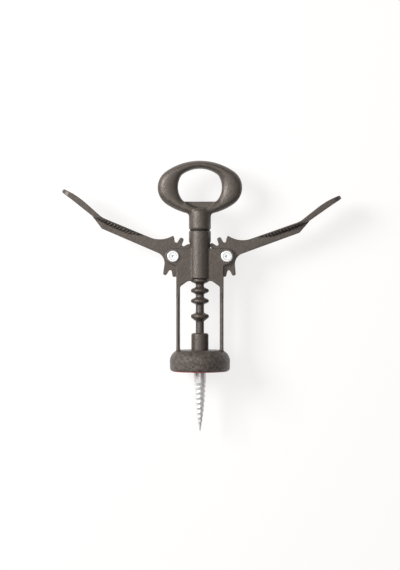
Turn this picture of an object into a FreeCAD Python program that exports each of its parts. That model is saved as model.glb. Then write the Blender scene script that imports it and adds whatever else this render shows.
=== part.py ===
import FreeCAD, Part
import math
import os
import Sketcher

# Wing corkscrew, millimetres. +Z runs along the worm, the origin is the centre of the bell's mouth,
# -Y is the front and the levers swing in the XZ plane. The levers are shown raised, the rack lowered.

SIZES = {
    "play_slide": 0.1,
    "bell_radius": 19.0,
    "bell_height": 12.9,
    "bell_top_radius": 14.2,
    "bell_wall": 2.0,
    "bell_roof": 2.2,
    "mouth_inset": 1.3,
    "mouth_rise": 4.2,
    "mouth_round": 0.5,
    "belly_band": 1.7,
    "belly_round": 10.0,
    "cavity_round": 2.9,
    "liner_lip": 0.5,
    "liner_wall": 1.7,
    "liner_roof": 1.5,
    "liner_lip_reach": 0.4,
    "liner_fit": 0.1,
    "liner_lip_round": 0.2,
    "liner_round": 3.1,
    "leg_outside": 14.9,
    "leg_thick": 2.4,
    "leg_depth": 8.8,
    "leg_foot_depth": 11.6,
    "leg_drop": 6.1,
    "window_drop": 15.5,
    "window_chamfer": 5.0,
    "window_chamfer_height": 3.5,
    "window_round": 2.0,
    "bore_overrun": 4.5,
    "pivot_reach": 16.8,
    "pivot_height": 72.4,
    "boss_radius": 5.0,
    "barrel_radius": 6.95,
    "barrel_rise": 16.0,
    "barrel_foot": 1.6,
    "barrel_edge": 0.5,
    "gear_thick": 4.2,
    "gear_side_play": 0.1,
    "gear_tip_play": 0.5,
    "teeth_per_turn": 12,
    "rack_pitch": 6.45,
    "pressure_angle": 24,
    "tooth_thick": 2.45,
    "tooth_reach": 0.6,
    "tooth_root": 3.4,
    "tooth_round": 0.6,
    "root_round": 0.7,
    "root_narrowing": 0.6,
    "gap_count": 7,
    "gaps_below_mesh": 3,
    "mesh_height": 1.0,
    "mesh_phase": 145.7,
    "lever_angle": 28.95,
    "lever_lag": 1.65,
    "ring_thick": 2.8,
    "ring_radius": 5.7,
    "ring_round": 0.9,
    "ring_root_round": 0.8,
    "ring_count": 7,
    "rings_above": 2,
    "core_radius": 2.6,
    "stop_drop": 9.6,
    "stop_cone": 1.5,
    "collar_radius": 5.45,
    "collar_top": 24.1,
    "collar_bottom": 11.3,
    "collar_round": 1.2,
    "land_height": 1.6,
    "spigot_radius": 3.2,
    "spigot_length": 9.0,
    "washer_radius": 6.3,
    "washer_thick": 0.8,
    "washer_fit": 0.05,
    "worm_radius": 3.8,
    "worm_guide_play": 0.3,
    "worm_thread_top": -6.7,
    "worm_tip": -37.5,
    "worm_tip_radius": 0.35,
    "worm_bulge": 160,
    "worm_seat": 10.0,
    "bow_centre": 115.7,
    "bow_half_width": 26.6,
    "bow_half_height": 16.95,
    "bow_end_arc": 12.5,
    "bow_depth": 10.0,
    "bow_rim_round": 2.6,
    "opening_shoulder": 8.0,
    "opening_half_width": 11.5,
    "opening_bottom": 8.6,
    "opening_flat": 10.4,
    "opening_top_arc": 18.5,
    "opening_side_arc": 13.5,
    "opening_corner": 1.8,
    "opening_round": 1.6,
    "cap_radius": 13.2,
    "cap_lip": 3.2,
    "neck_radius": 6.95,
    "neck_height": 9.5,
    "neck_chamfer": 0.6,
    "neck_shoulder": 2.0,
    "neck_shoulder_round": 4.0,
    "throat_round": 2.5,
    "throat_sink": 0.2,
    "throat_rise": 0.6,
    "throat_flare": 4.3,
    "throat_flare_rise": 1.7,
    "throat_depth": 6.0,
    "rivet_radius": 2.4,
    "rivet_fit": 0.05,
    "rivet_head_radius": 3.75,
    "rivet_head_thick": 1.2,
    "rivet_head_round": 0.7,
    "rivet_groove_radius": 2.4,
    "rivet_groove": 0.25,
    "rivet_dimple_radius": 0.8,
    "flange_half_width": 7.5,
    "flange_start": 19.5,
    "paddle_back": 30.9,
    "paddle_corner": 5.5,
    "paddle_shoulder_round": 30.0,
    "paddle_end_half": 1.0,
    "wedge_start": 23.5,
    "wedge_start_edge": 0.3,
    "wedge_start_depth": 0.6,
    "wedge_middle": 32.0,
    "wedge_middle_edge": 0.3,
    "wedge_middle_depth": 3.1,
    "wedge_end_back": 34.9,
    "wedge_end_edge": 0.7,
    "wedge_end_depth": 2.8,
    "wedge_tail": 0.1,
    "wedge_spare": 0.5,
    "lever_length": 80.9,
    "shoulder_angle": 57,
    "heel_angle": 269.4,
    "heel_x": 4.2,
    "heel_y": -2.3,
    "heel_round": 7.0,
    "web_end_back": 33.3,
    "web_end_y": -7.85,
    "web_end_round": 1.0,
    "web_top_x": 18.4,
    "web_top_y": 2.9,
    "web_top_arc": 16.0,
    "knee_back": 29.9,
    "knee_y": -1.75,
    "knee_round": 16.0,
    "root_back": 23.5,
    "root_y": -3.9,
    "root_arc": 8.0,
    "under_back": 7.9,
    "under_y": -1.75,
    "crown_back": 10.4,
    "crown_y": 2.1,
    "crown_round": 45.0,
    "tip_low": -0.9,
    "tip_high": 1.5,
    "tip_edge_round": 1.0,
}


NEAR = 0.01
WINDOW_TOP = "(dim.pivot_height - dim.window_drop)"
BARREL_TOP = "(dim.pivot_height + dim.barrel_rise)"
BELL_TOP = "(dim.liner_lip + dim.bell_height)"
KNEE = "(dim.lever_length - dim.knee_back)"
ROOT = "(dim.lever_length - dim.root_back)"
WEDGE_END = "(dim.lever_length - dim.wedge_end_back)"


def start_document():
    doc = FreeCAD.newDocument("corkscrew")
    sheet = doc.addObject("Spreadsheet::Sheet", "dim")
    for row, (alias, number) in enumerate(SIZES.items(), start=1):
        sheet.set("A%d" % row, alias.replace("_", " "))
        sheet.set("B%d" % row, str(number))
        sheet.setAlias("B%d" % row, alias)
    doc.recompute()
    return doc


def number(doc, value):
    """A coordinate is a number, or an expression on the sheet."""
    if isinstance(value, str):
        return float(doc.dim.evalExpression(value))
    return float(value)


def make_body(doc, label):
    body = doc.addObject("PartDesign::Body", label)
    body.Label = label
    return body


def datum(body, role):
    return next(item for item in body.Origin.OriginFeatures if item.Role == role)


def make_sketch(body, name, role):
    sketch = body.newObject("Sketcher::SketchObject", name)
    sketch.AttachmentSupport = [(datum(body, role), "")]
    sketch.MapMode = "FlatFace"
    return sketch


def fix(sketch, kind, geometry, point, value):
    """Hold one coordinate of a point, or a radius, at its size."""
    amount = number(sketch.Document, value)
    if kind == "Radius":
        index = sketch.addConstraint(Sketcher.Constraint(kind, geometry, amount))
    else:
        index = sketch.addConstraint(Sketcher.Constraint(kind, geometry, point, amount))
    if isinstance(value, str):
        sketch.setExpression("Constraints[%d]" % index, value)


def fix_point(sketch, geometry, point, x, y):
    fix(sketch, "DistanceX", geometry, point, x)
    fix(sketch, "DistanceY", geometry, point, y)


def draw_outline(sketch, corners):
    """Closed outline. A corner is (x, y), (x, y, rounding) or (x, y, None, radius of the arc to the next)."""
    doc = sketch.Document
    count = len(corners)
    spots = [FreeCAD.Vector(number(doc, c[0]), number(doc, c[1]), 0) for c in corners]
    rounds = [number(doc, c[2]) if len(c) > 2 and c[2] else 0.0 for c in corners]
    trims = []
    for i, spot in enumerate(spots):
        before = (spots[i - 1] - spot).normalize()
        after = (spots[(i + 1) % count] - spot).normalize()
        half = before.getAngle(after) / 2.0
        reach = rounds[i] / math.tan(half)
        trims.append((spot + before * reach, spot + after * reach, before + after, half))
    sides = []
    for i in range(count):
        start = trims[i][1]
        end = trims[(i + 1) % count][0]
        bend = corners[i][3] if len(corners[i]) > 3 else None
        if bend is None:
            sides.append(sketch.addGeometry(Part.LineSegment(start, end)))
        else:
            sides.append(sketch.addGeometry(bulge(start, end, number(doc, bend))))
    for i, corner in enumerate(corners):
        before, after = sides[i - 1], sides[i]
        if not rounds[i]:
            sketch.addConstraint(Sketcher.Constraint("Coincident", before, end_of(sketch, before, spots[i]),
                                                     after, end_of(sketch, after, spots[i])))
            fix_point(sketch, after, end_of(sketch, after, spots[i]), corner[0], corner[1])
            continue
        first, second, inward, half = trims[i]
        centre = spots[i] + inward.normalize() * (rounds[i] / math.sin(half))
        middle = centre + (spots[i] - centre).normalize() * rounds[i]
        arc = sketch.addGeometry(Part.Arc(first, middle, second))
        apex = sketch.addGeometry(Part.Point(spots[i]), True)
        fix_point(sketch, apex, 1, corner[0], corner[1])
        sketch.addConstraint(Sketcher.Constraint("PointOnObject", apex, 1, before))
        sketch.addConstraint(Sketcher.Constraint("PointOnObject", apex, 1, after))
        sketch.addConstraint(Sketcher.Constraint("Tangent", before, end_of(sketch, before, first),
                                                 arc, end_of(sketch, arc, first)))
        sketch.addConstraint(Sketcher.Constraint("Tangent", arc, end_of(sketch, arc, second),
                                                 after, end_of(sketch, after, second)))
        fix(sketch, "Radius", arc, 0, corner[2])
    for i, corner in enumerate(corners):
        if len(corner) > 3:
            size = corner[3].lstrip("-") if isinstance(corner[3], str) else abs(corner[3])
            fix(sketch, "Radius", sides[i], 0, size)


def bulge(start, end, radius):
    """Arc from start to end that bows to the right of the way there, or to the left if negative."""
    chord = end - start
    side = FreeCAD.Vector(chord.y, -chord.x, 0).normalize()
    size = abs(radius)
    rise = size - math.sqrt(size * size - chord.Length ** 2 / 4.0)
    middle = (start + end) * 0.5 + side * math.copysign(rise, radius)
    return Part.Arc(start, middle, end)


def end_of(sketch, geometry, spot):
    """Which end of a line or arc lies at a point: 1 for its start, 2 for its end."""
    start = sketch.getPoint(geometry, 1)
    end = sketch.getPoint(geometry, 2)
    return 1 if (start - spot).Length < (end - spot).Length else 2


def draw_circle(sketch, x, y, radius):
    doc = sketch.Document
    centre = FreeCAD.Vector(number(doc, x), number(doc, y), 0)
    circle = Part.Circle(centre, FreeCAD.Vector(0, 0, 1), number(doc, radius))
    index = sketch.addGeometry(circle)
    fix_point(sketch, index, 3, x, y)
    fix(sketch, "Radius", index, 0, radius)


def pad(body, name, sketch, length):
    feature = body.newObject("PartDesign::Pad", name)
    feature.Profile = sketch
    feature.SideType = "Symmetric"
    feature.setExpression("Length", length)
    body.Document.recompute()
    return feature


def pocket(body, name, sketch, length=None):
    """Cut on both sides of the sketch, right through if no length is given."""
    feature = body.newObject("PartDesign::Pocket", name)
    feature.Profile = sketch
    feature.SideType = "Symmetric"
    if length is None:
        feature.Type = "ThroughAll"
    else:
        feature.setExpression("Length", length)
    body.Document.recompute()
    return feature


def revolve(body, name, corners, cut=False):
    """Turn an outline of (radius, height) corners about the Z axis."""
    sketch = make_sketch(body, name + "_profile", "XZ_Plane")
    draw_outline(sketch, corners)
    kind = "PartDesign::Groove" if cut else "PartDesign::Revolution"
    feature = body.newObject(kind, name)
    feature.Profile = sketch
    feature.ReferenceAxis = (sketch, ["V_Axis"])
    feature.Angle = 360
    body.Document.recompute()
    return feature


def round_edges(body, name, base, edges, radius):
    feature = body.newObject("PartDesign::Fillet", name)
    feature.Base = (base, edges)
    feature.setExpression("Radius", radius)
    body.Document.recompute()
    return feature


def edges_where(feature, test):
    """Names of the edges whose middle point passes a test."""
    names = []
    for index, edge in enumerate(feature.Shape.Edges, start=1):
        middle = edge.valueAt((edge.FirstParameter + edge.LastParameter) / 2.0)
        if test(edge, middle):
            names.append("Edge%d" % index)
    return names


def pitch_radius(doc):
    return number(doc, "dim.teeth_per_turn * dim.rack_pitch") / (2.0 * math.pi)


def tip_radius(doc):
    return pitch_radius(doc) + number(doc, "dim.tooth_reach")


def on_circle(radius, degrees):
    return radius * math.cos(math.radians(degrees)), radius * math.sin(math.radians(degrees))


def make_frame(doc):
    """Barrel, cheeks, legs and bell in one casting."""
    body = make_body(doc, "frame_casting")
    outline = make_sketch(body, "cheeks_and_legs", "XZ_Plane")
    foot = BELL_TOP + " - dim.bell_roof / 2"
    top = "dim.pivot_height + dim.boss_radius"
    leg_top = "dim.pivot_height - dim.leg_drop"
    inside = "(dim.leg_outside - dim.leg_thick)"
    chamfer = inside + " - dim.window_chamfer"
    chamfer_foot = WINDOW_TOP + " - dim.window_chamfer_height"
    sideways = number(doc, "dim.leg_outside - dim.pivot_reach")
    down = number(doc, "dim.leg_drop")
    reach = math.hypot(sideways, down)
    lean = math.degrees(math.atan2(-down, sideways))
    boss = number(doc, "dim.boss_radius")
    out, rise = on_circle(boss, lean + math.degrees(math.acos(boss / reach)))
    edge = number(doc, "dim.pivot_reach") + out
    low = number(doc, "dim.pivot_height") + rise
    draw_outline(outline, [
        ("dim.leg_outside", foot),
        ("dim.leg_outside", leg_top),
        (edge, low),
        ("dim.pivot_reach", top),
        ("-dim.pivot_reach", top),
        (-edge, low),
        ("-dim.leg_outside", leg_top),
        ("-dim.leg_outside", foot),
        ("-" + inside, foot),
        ("-" + inside, chamfer_foot, "dim.window_round"),
        ("-(" + chamfer + ")", WINDOW_TOP, "dim.window_round"),
        (chamfer, WINDOW_TOP, "dim.window_round"),
        (inside, chamfer_foot, "dim.window_round"),
        (inside, foot),
    ])
    pad(body, "cheeks_and_legs_pad", outline, "dim.leg_foot_depth")
    taper_legs(body)
    bosses = make_sketch(body, "pivot_bosses", "XZ_Plane")
    draw_circle(bosses, "dim.pivot_reach", "dim.pivot_height", "dim.boss_radius")
    draw_circle(bosses, "-dim.pivot_reach", "dim.pivot_height", "dim.boss_radius")
    pad(body, "pivot_bosses_pad", bosses, "dim.leg_depth")
    add_barrel(body)
    add_bell(body)
    cut_gear_slots(body)
    rivet_holes = make_sketch(body, "rivet_holes", "XZ_Plane")
    draw_circle(rivet_holes, "dim.pivot_reach", "dim.pivot_height", "dim.rivet_radius")
    draw_circle(rivet_holes, "-dim.pivot_reach", "dim.pivot_height", "dim.rivet_radius")
    pocket(body, "rivet_holes_cut", rivet_holes)
    return body


def taper_legs(body):
    """The legs are deepest at the bell and thin to the depth of the cheeks at the window's top."""
    cut = make_sketch(body, "leg_taper", "YZ_Plane")
    foot = BELL_TOP + " - dim.bell_roof"
    top = "dim.pivot_height + 2 * dim.boss_radius"
    for side in ("", "-"):
        draw_outline(cut, [
            (side + "dim.leg_foot_depth / 2", foot),
            (side + "dim.leg_depth / 2", WINDOW_TOP),
            (side + "dim.leg_depth / 2", top),
            (side + "dim.leg_foot_depth", top),
            (side + "dim.leg_foot_depth", foot),
        ])
    pocket(body, "leg_taper_cut", cut)


def add_barrel(body):
    """The barrel guides the rack's rings."""
    revolve(body, "barrel", [
        (0, WINDOW_TOP + " + dim.barrel_foot"),
        ("dim.barrel_radius", WINDOW_TOP + " + dim.barrel_foot"),
        ("dim.barrel_radius", BARREL_TOP, "dim.barrel_edge"),
        (0, BARREL_TOP),
    ])
    bore = "dim.ring_radius + dim.play_slide"
    revolve(body, "barrel_bore", [
        (0, WINDOW_TOP + " - dim.bore_overrun"),
        (bore, WINDOW_TOP + " - dim.bore_overrun"),
        (bore, BARREL_TOP + " + dim.bore_overrun"),
        (0, BARREL_TOP + " + dim.bore_overrun"),
    ], cut=True)


def add_bell(body):
    """A short bell with a tall round shoulder, open below, with a hole for the rack's collar."""
    roof = BELL_TOP + " - dim.bell_roof"
    wall = "dim.bell_radius - dim.bell_wall"
    hole = "dim.collar_radius + dim.worm_guide_play"
    across = "(dim.bell_radius - dim.bell_top_radius)"
    rise = "(dim.bell_height - dim.mouth_rise - dim.belly_band)"
    shoulder = "(%s ^ 2 + %s ^ 2) / (2 * %s)" % (across, rise, across)
    revolve(body, "bell", [
        (wall, "dim.liner_lip"),
        ("dim.bell_radius - dim.mouth_inset", "dim.liner_lip", "dim.mouth_round"),
        ("dim.bell_radius", "dim.liner_lip + dim.mouth_rise", "dim.belly_round"),
        ("dim.bell_radius", BELL_TOP + " - " + rise, None, shoulder),
        ("dim.bell_top_radius", BELL_TOP),
        (hole, BELL_TOP),
        (hole, roof),
        (wall, roof, "dim.cavity_round"),
    ])


def cut_gear_slots(body):
    """Round pockets between the cheeks, open to the rack, in which the gear sectors swing."""
    slots = make_sketch(body, "gear_slots", "XZ_Plane")
    clear = tip_radius(body.Document) + number(body.Document, "dim.gear_tip_play")
    for side in ("", "-"):
        draw_circle(slots, side + "dim.pivot_reach", "dim.pivot_height", clear)
    pocket(body, "gear_slots_cut", slots, "dim.gear_thick + 2 * dim.gear_side_play")


def make_liner(doc):
    """Plastic cup pressed into the bell: its lip covers the bell's rim, its bore takes the bottle."""
    body = make_body(doc, "bottle_liner")
    outside = "dim.bell_radius - dim.bell_wall"
    bore = outside + " - dim.liner_wall"
    roof = BELL_TOP + " - dim.bell_roof - dim.liner_fit"
    guide = "dim.worm_radius + dim.worm_guide_play"
    revolve(body, "cup", [
        (bore, 0),
        (outside + " + dim.liner_lip_reach", 0, "dim.liner_lip_round"),
        (outside + " + dim.liner_lip_reach", "dim.liner_lip"),
        (outside, "dim.liner_lip"),
        (outside, roof, "dim.liner_round"),
        (guide, roof),
        (guide, roof + " - dim.liner_roof"),
        (bore, roof + " - dim.liner_roof"),
    ])
    return body


def make_rack(doc):
    """Round rack: rings at the pitch of the gears, a stop ring, a collar for the worm and a top spigot."""
    body = make_body(doc, "ring_rack")
    land = BARREL_TOP + " - dim.land_height"
    spigot_top = BARREL_TOP + " + dim.washer_thick + dim.spigot_length"
    seat = "dim.collar_bottom + dim.worm_seat"
    revolve(body, "core", [
        (0, seat),
        ("dim.worm_radius", seat),
        ("dim.worm_radius", "dim.collar_bottom"),
        ("dim.collar_radius", "dim.collar_bottom"),
        ("dim.collar_radius", "dim.collar_top", "dim.collar_round"),
        ("dim.core_radius", "dim.collar_top"),
        ("dim.core_radius", land),
        ("dim.ring_radius", land),
        ("dim.ring_radius", BARREL_TOP),
        ("dim.spigot_radius", BARREL_TOP),
        ("dim.spigot_radius", spigot_top),
        (0, spigot_top),
    ])
    top_ring = "dim.pivot_height + dim.mesh_height + (dim.rings_above - 0.5) * dim.rack_pitch"
    flare = math.tan(math.radians(number(doc, "dim.pressure_angle")))
    pitch_line = number(doc, "dim.pivot_reach") - pitch_radius(doc)
    inner = number(doc, "dim.core_radius / 2")
    half = number(doc, "dim.ring_thick / 2")
    base = half + (pitch_line - inner) * flare
    crest = half - (number(doc, "dim.ring_radius") - pitch_line) * flare
    middle = number(doc, top_ring)
    ring = revolve(body, "ring", [
        ("dim.core_radius / 2", middle - base),
        ("dim.ring_radius", middle - crest, "dim.ring_round"),
        ("dim.ring_radius", middle + crest, "dim.ring_round"),
        ("dim.core_radius / 2", middle + base),
    ])
    pattern = body.newObject("PartDesign::LinearPattern", "rings")
    pattern.Originals = [ring]
    pattern.Direction = (datum(body, "Z_Axis"), [""])
    pattern.Reversed = True
    pattern.setExpression("Length", "(dim.ring_count - 1) * dim.rack_pitch")
    pattern.setExpression("Occurrences", "dim.ring_count")
    body.Tip = pattern
    doc.recompute()
    stop = number(doc, top_ring + " - (dim.ring_count - 1) * dim.rack_pitch - dim.stop_drop")
    last = revolve(body, "stop_ring", [
        ("dim.core_radius / 2", stop - base - number(doc, "dim.stop_cone")),
        ("dim.ring_radius", stop - crest, "dim.ring_round"),
        ("dim.ring_radius", stop + crest, "dim.ring_round"),
        ("dim.core_radius / 2", stop + base),
    ])
    top = number(doc, top_ring)
    core = number(doc, "dim.core_radius")

    def at_root(edge, spot):
        return stop < spot.z < top and abs(math.hypot(spot.x, spot.y) - core) < NEAR

    round_edges(body, "ring_roots", last, edges_where(last, at_root), "dim.ring_root_round")
    return body


def make_washer(doc):
    body = make_body(doc, "thrust_washer")
    top = BARREL_TOP + " + dim.washer_thick"
    revolve(body, "disc", [
        ("dim.spigot_radius + dim.washer_fit", BARREL_TOP),
        ("dim.washer_radius", BARREL_TOP),
        ("dim.washer_radius", top),
        ("dim.spigot_radius + dim.washer_fit", top),
    ])
    return body


def make_worm(doc):
    """The envelope of the worm: a plain shank and a bulging taper to a point."""
    body = make_body(doc, "worm_screw")
    seat = "dim.collar_bottom + dim.worm_seat"
    revolve(body, "shank_and_taper", [
        (0, "dim.worm_tip"),
        ("dim.worm_tip_radius", "dim.worm_tip", None, "dim.worm_bulge"),
        ("dim.worm_radius", "dim.worm_thread_top"),
        ("dim.worm_radius", seat),
        (0, seat),
    ])
    return body


def make_rivet(doc, label, side):
    """A pivot headed over both cheeks, with a ring groove and a dimple in each head."""
    body = make_body(doc, label)
    cheek = "dim.leg_depth / 2"
    face = "dim.leg_depth / 2 + dim.rivet_head_thick"
    floor = face + " - dim.rivet_groove"
    half = [
        ("dim.rivet_radius", "-(" + cheek + ")"),
        ("dim.rivet_head_radius", "-(" + cheek + ")"),
        ("dim.rivet_head_radius", "-(" + face + ")", "dim.rivet_head_round"),
        ("dim.rivet_groove_radius", "-(" + face + ")"),
        ("dim.rivet_groove_radius - dim.rivet_groove", "-(" + floor + ")"),
        ("dim.rivet_dimple_radius", "-(" + floor + ")"),
        (0, "-(" + floor + " - dim.rivet_groove)"),
    ]
    other = [(c[0], c[1][2:-1]) + tuple(c[2:]) for c in reversed(half)]
    revolve(body, "shank_and_heads", half + other)
    spot = FreeCAD.Vector(side * number(doc, "dim.pivot_reach"), 0, number(doc, "dim.pivot_height"))
    body.Placement = FreeCAD.Placement(spot, FreeCAD.Rotation(FreeCAD.Vector(1, 0, 0), -90))
    return body


def make_handle(doc):
    """Oval bow with the cap opener, on a round neck that takes the rack's spigot."""
    body = make_body(doc, "key_handle")
    draw_bow(body)
    cut_opening(body)
    add_neck(body)
    cut_cap_seat(body)
    return body


def draw_bow(body):
    """An oval of four tangent arcs."""
    doc = body.Document
    wide = number(doc, "dim.bow_half_width")
    tall = number(doc, "dim.bow_half_height")
    end = number(doc, "dim.bow_end_arc")
    long = ((wide - end) ** 2 + tall ** 2 - end ** 2) / (2.0 * (tall - end))
    out = long * (wide - end) / (long - end)
    rise = (tall - long) + long * (long - tall) / (long - end)
    centre = number(doc, "dim.bow_centre")
    oval = make_sketch(body, "bow_outline", "XZ_Plane")
    draw_outline(oval, [
        (out, centre - rise, None, end),
        (out, centre + rise, None, long),
        (-out, centre + rise, None, end),
        (-out, centre - rise, None, long),
    ])
    pad(body, "bow", oval, "dim.bow_depth")


def add_neck(body):
    foot = BARREL_TOP + " + dim.washer_thick"
    shoulder = foot + " + dim.neck_height"
    hidden = "dim.bow_centre - dim.opening_bottom - dim.opening_round"
    throat = make_sketch(body, "throat_outline", "XZ_Plane")
    side = "(dim.neck_radius - dim.throat_sink)"
    flare = "(dim.neck_radius + dim.throat_flare)"
    middle = foot + " + dim.neck_height / 2"
    low = shoulder + " + dim.throat_rise"
    high = shoulder + " + dim.throat_flare_rise"
    draw_outline(throat, [
        (side, middle),
        (side, low, "dim.throat_round"),
        (flare, high),
        ("dim.neck_radius", hidden),
        ("-dim.neck_radius", hidden),
        ("-" + flare, high),
        ("-" + side, low, "dim.throat_round"),
        ("-" + side, middle),
    ])
    pad(body, "throat", throat, "dim.throat_depth")
    revolve(body, "neck", [
        (0, foot),
        ("dim.neck_radius - dim.neck_chamfer", foot),
        ("dim.neck_radius", foot + " + dim.neck_chamfer"),
        ("dim.neck_radius", shoulder + " + dim.neck_shoulder", "dim.neck_shoulder_round"),
        ("dim.neck_radius / 2", hidden),
        (0, hidden),
    ])
    bore_top = foot + " + dim.spigot_length"
    revolve(body, "spigot_socket", [
        (0, BARREL_TOP),
        ("dim.spigot_radius", BARREL_TOP),
        ("dim.spigot_radius", bore_top),
        (0, bore_top),
    ], cut=True)


def cut_opening(body):
    """The finger opening, and the round rims of the bow."""
    opening = make_sketch(body, "opening_outline", "XZ_Plane")
    low = "dim.bow_centre - dim.opening_bottom"
    high = "dim.bow_centre + dim.opening_shoulder"
    draw_outline(opening, [
        ("dim.opening_flat", low, None, "dim.opening_side_arc"),
        ("dim.opening_half_width", high, None, "dim.opening_top_arc"),
        ("-dim.opening_half_width", high, None, "dim.opening_side_arc"),
        ("-dim.opening_flat", low),
    ])
    hole = pocket(body, "opening", opening)
    wide = number(body.Document, "dim.opening_half_width + dim.opening_corner / 2")
    tall = number(body.Document, "dim.bow_half_height")
    centre = number(body.Document, "dim.bow_centre")

    def at_corner(edge, middle):
        return is_along_y(edge) and abs(middle.x) < wide

    def outer(edge, middle):
        reach = math.hypot(middle.x / number(body.Document, "dim.bow_half_width"), (middle.z - centre) / tall)
        return not is_along_y(edge) and abs(middle.y) > 0.1 and reach > 0.95

    def inner(edge, middle):
        return not is_along_y(edge) and abs(middle.y) > number(body.Document, "dim.bow_depth / 2") - NEAR

    base = round_edges(body, "opening_corners", hole, edges_where(hole, at_corner), "dim.opening_corner")
    base = round_edges(body, "bow_rim", base, edges_where(base, outer), "dim.bow_rim_round")
    edges = [name for name in edges_where(base, inner) if not near_rim(base, name)]
    round_edges(body, "opening_rim", base, edges, "dim.opening_round")


def near_rim(feature, name):
    """Whether an edge on the bow's flat face borders the rounding of its outer rim."""
    doc = feature.Document
    edge = feature.Shape.getElement(name)
    middle = edge.valueAt((edge.FirstParameter + edge.LastParameter) / 2.0)
    wide = number(doc, "dim.bow_half_width - dim.bow_rim_round")
    tall = number(doc, "dim.bow_half_height - dim.bow_rim_round")
    return math.hypot(middle.x / wide, (middle.z - number(doc, "dim.bow_centre")) / tall) > 0.97


def cut_cap_seat(body):
    """The round seat of the crown cap, in front of the opening's lower lip."""
    seat = make_sketch(body, "cap_seat_outline", "XZ_Plane")
    level = "dim.bow_centre - dim.opening_bottom / 2"
    half = "sqrt(dim.cap_radius ^ 2 - (dim.opening_bottom / 2) ^ 2)"
    draw_outline(seat, [
        ("-" + half, level, None, "dim.cap_radius"),
        (0, "dim.bow_centre - dim.cap_radius", None, "dim.cap_radius"),
        (half, level),
    ])
    seat.setExpression("AttachmentOffset.Base.z", "dim.bow_depth")
    feature = body.newObject("PartDesign::Pocket", "cap_seat")
    feature.Profile = seat
    feature.SideType = "Symmetric"
    feature.setExpression("Length", "2 * (1.5 * dim.bow_depth - dim.cap_lip)")
    body.Document.recompute()


def is_along_y(edge):
    ends = [vertex.Point for vertex in edge.Vertexes]
    return len(ends) == 2 and (ends[0] - ends[1]).cross(FreeCAD.Vector(0, 1, 0)).Length < 1e-6


def involute(angle):
    return math.tan(angle) - angle


def half_gap(doc, radius):
    """Half the angle of the gap between two teeth, at a radius on their flanks."""
    pressure = math.radians(number(doc, "dim.pressure_angle"))
    pitch = pitch_radius(doc)
    tooth = number(doc, "dim.tooth_thick") / 2.0 / pitch + involute(pressure)
    local = math.acos(min(1.0, pitch * math.cos(pressure) / radius))
    return math.pi / number(doc, "dim.teeth_per_turn") - tooth + involute(local)


def arc_radius(first, middle, last):
    arc = Part.Arc(*(FreeCAD.Vector(x, y, 0) for x, y in (first, middle, last)))
    return arc.toShape().Curve.Radius


def cut_teeth(body):
    """One gap with involute flanks and a round bottom, repeated round the pivot."""
    doc = body.Document
    step = 360.0 / number(doc, "dim.teeth_per_turn")
    gaps = round(number(doc, "dim.gap_count"))
    first_gap = number(doc, "dim.mesh_phase - (dim.gaps_below_mesh - 0.5) * 360 / dim.teeth_per_turn")
    pitch = pitch_radius(doc)
    base = pitch * math.cos(math.radians(number(doc, "dim.pressure_angle")))
    tip = tip_radius(doc)
    root = pitch - number(doc, "dim.tooth_root")

    def spot(radius, angle):
        return on_circle(radius, first_gap + math.degrees(angle))

    levels = (base, (base + tip) / 2.0, tip)
    flank = arc_radius(*(spot(level, half_gap(doc, level)) for level in levels))
    wide = half_gap(doc, tip)
    narrow = half_gap(doc, base)
    bottom = narrow * number(doc, "dim.root_narrowing")
    beyond = tip + number(doc, "dim.tooth_reach")
    gap = make_sketch(body, "gap_outline", "XZ_Plane")
    draw_outline(gap, [
        spot(beyond, wide),
        spot(tip, wide) + (None, -flank),
        spot(base, narrow),
        spot(root, bottom) + ("dim.root_round",),
        spot(root, -bottom) + ("dim.root_round",),
        spot(base, -narrow) + (None, -flank),
        spot(tip, -wide),
        spot(beyond, -wide),
    ])
    cut = pocket(body, "gap", gap)
    pattern = body.newObject("PartDesign::PolarPattern", "gaps")
    pattern.Originals = [cut]
    pattern.Axis = (datum(body, "Y_Axis"), [""])
    pattern.Reversed = True
    pattern.Angle = step * (gaps - 1)
    pattern.Occurrences = gaps
    body.Tip = pattern
    doc.recompute()
    tips = edges_where(pattern, lambda edge, middle: is_along_y(edge)
                       and abs(math.hypot(middle.x, middle.z) - tip) < NEAR
                       and middle.z < tip * 0.9999 and middle.x < tip * 0.6)
    round_edges(body, "tooth_tips", pattern, tips, "dim.tooth_round")


PADDLE_TOP = [
    ("dim.lever_length - dim.under_back", "dim.under_y"),
    ("dim.lever_length", "dim.tip_low", "dim.tip_edge_round"),
    ("dim.lever_length", "dim.tip_high", "dim.tip_edge_round"),
    ("dim.lever_length - dim.crown_back", "dim.crown_y", "dim.crown_round"),
    (KNEE, "dim.knee_y", "dim.knee_round"),
]


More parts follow.
